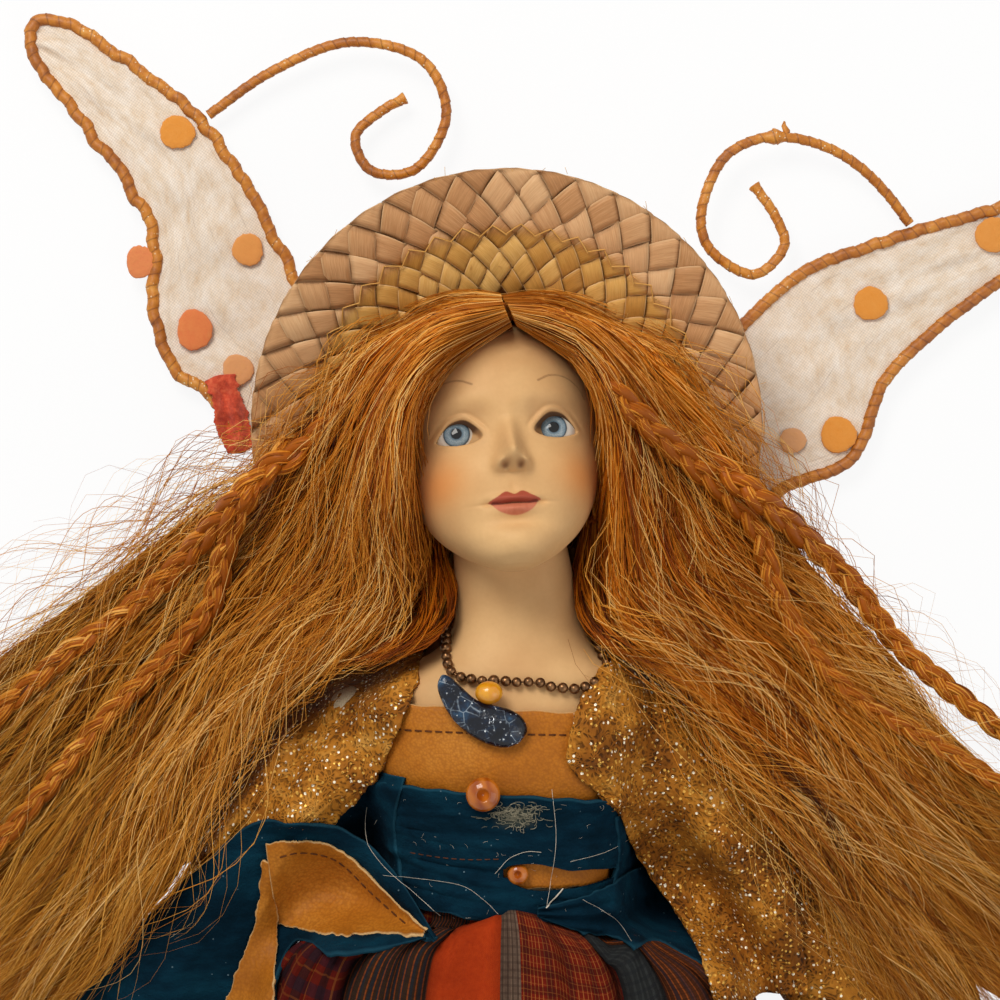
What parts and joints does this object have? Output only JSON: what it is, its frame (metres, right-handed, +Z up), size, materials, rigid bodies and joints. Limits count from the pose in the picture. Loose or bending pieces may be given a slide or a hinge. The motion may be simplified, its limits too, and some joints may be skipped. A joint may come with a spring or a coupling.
{
  "type": "fairy doll",
  "caption": "Fairy doll lying on its back: bisque head, long hair, straw hat, wire wings, beads, wrapped bodice, knitted sleeves, skirt and boots; arms and legs turn.",
  "frame": {"origin": "middle of the bodice's flat back, on the surface that the doll lies on", "axes": "+X to the right of someone looking down on the doll, +Y towards its head, +Z up"},
  "size_m": [0.357, 0.5108, 0.0772],
  "materials": {
    "bisque": "matte",
    "glass_eye": "gloss",
    "calico": "matte",
    "leather": "satin",
    "suede": "matte",
    "lining": "matte",
    "skirt_cloth": "matte",
    "lurex_knit": "satin",
    "straw": "matte",
    "taped_wire": "matte",
    "sheer_cloth": "matte",
    "felt": "matte",
    "hair": "satin",
    "tie_cloth": "matte",
    "strand_beads": "satin",
    "yellow_bead": "gloss",
    "amber": "gloss",
    "crescent_glaze": "gloss",
    "boot_leather": "satin",
    "sole": "matte"
  },
  "bodies": {
    "torso": {"shoulder_head": "bisque", "head_pate": "bisque", "torso_body": "calico", "leather_top": "leather", "navy_bodice": "suede", "skirt": "skirt_cloth", "hat": "straw", "wing_pad": "calico", "necklace": "strand_beads", "yellow_bead": "yellow_bead", "amber_bead": "amber", "glass_bead": "amber", "coat_panel_right": "suede", "coat_panel_left": "suede", "coat_lining_left": "lining", "hair_crown": "hair", "wing_tie": "tie_cloth", "eye_left": "glass_eye", "wing_frame_left": "taped_wire", "wing_membrane_left": "sheer_cloth", "wing_curl_left": "taped_wire", "knit_front_left": "lurex_knit", "hair_left": "hair", "braid_left_1": "hair", "braid_left_2": "hair", "eye_right": "glass_eye", "wing_frame_right": "taped_wire", "wing_membrane_right": "sheer_cloth", "wing_curl_right": "taped_wire", "knit_front_right": "lurex_knit", "hair_right": "hair", "braid_right_1": "hair", "braid_right_2": "hair", "wing_dot_left_1": "felt", "wing_dot_left_2": "felt", "wing_dot_left_3": "felt", "wing_dot_left_4": "felt", "wing_dot_left_5": "felt", "wing_dot_right_1": "felt", "wing_dot_right_2": "felt", "wing_dot_right_3": "felt", "wing_dot_right_4": "felt"},
    "left_arm": {"upper_arm_left": "calico", "forearm_left": "bisque", "sleeve_left": "lurex_knit"},
    "left_leg": {"thigh_left": "calico", "shin_left": "calico", "boot_left": "boot_leather", "boot_sole_left": "sole"},
    "right_arm": {"upper_arm_right": "calico", "forearm_right": "bisque", "sleeve_right": "lurex_knit"},
    "right_leg": {"thigh_right": "calico", "shin_right": "calico", "boot_right": "boot_leather", "boot_sole_right": "sole"},
    "pendant": {"pendant": "crescent_glaze"}
  },
  "joints": [
    {"name": "left_shoulder", "type": "hinge", "parent": "torso", "child": "left_arm", "pos_m": [-0.041, 0.029, 0.027], "axis": [-1, 0, 0], "range_deg": [0, 100], "deforming": ["knit_front_left", "hair_left", "braid_left_1", "braid_left_2", "coat_panel_left", "coat_lining_left"]},
    {"name": "right_shoulder", "type": "hinge", "parent": "torso", "child": "right_arm", "pos_m": [0.041, 0.029, 0.027], "axis": [-1, 0, 0], "range_deg": [0, 100], "deforming": ["knit_front_right", "hair_right", "braid_right_1", "braid_right_2", "coat_panel_right"]},
    {"name": "left_hip", "type": "hinge", "parent": "torso", "child": "left_leg", "pos_m": [-0.017, -0.066, 0.022], "axis": [-1, 0, 0], "range_deg": [0, 90], "deforming": ["skirt"]},
    {"name": "right_hip", "type": "hinge", "parent": "torso", "child": "right_leg", "pos_m": [0.017, -0.066, 0.022], "axis": [-1, 0, 0], "range_deg": [0, 90]},
    {"name": "pendant_swing", "type": "hinge", "parent": "torso", "child": "pendant", "pos_m": [-0.0047, 0.0377, 0.05743], "axis": [0, 0, 1], "range_deg": [-25, 25]}
  ],
  "couplings": [
    {"joint": "right_hip", "follows": "left_hip", "ratio": 1}
  ]
}
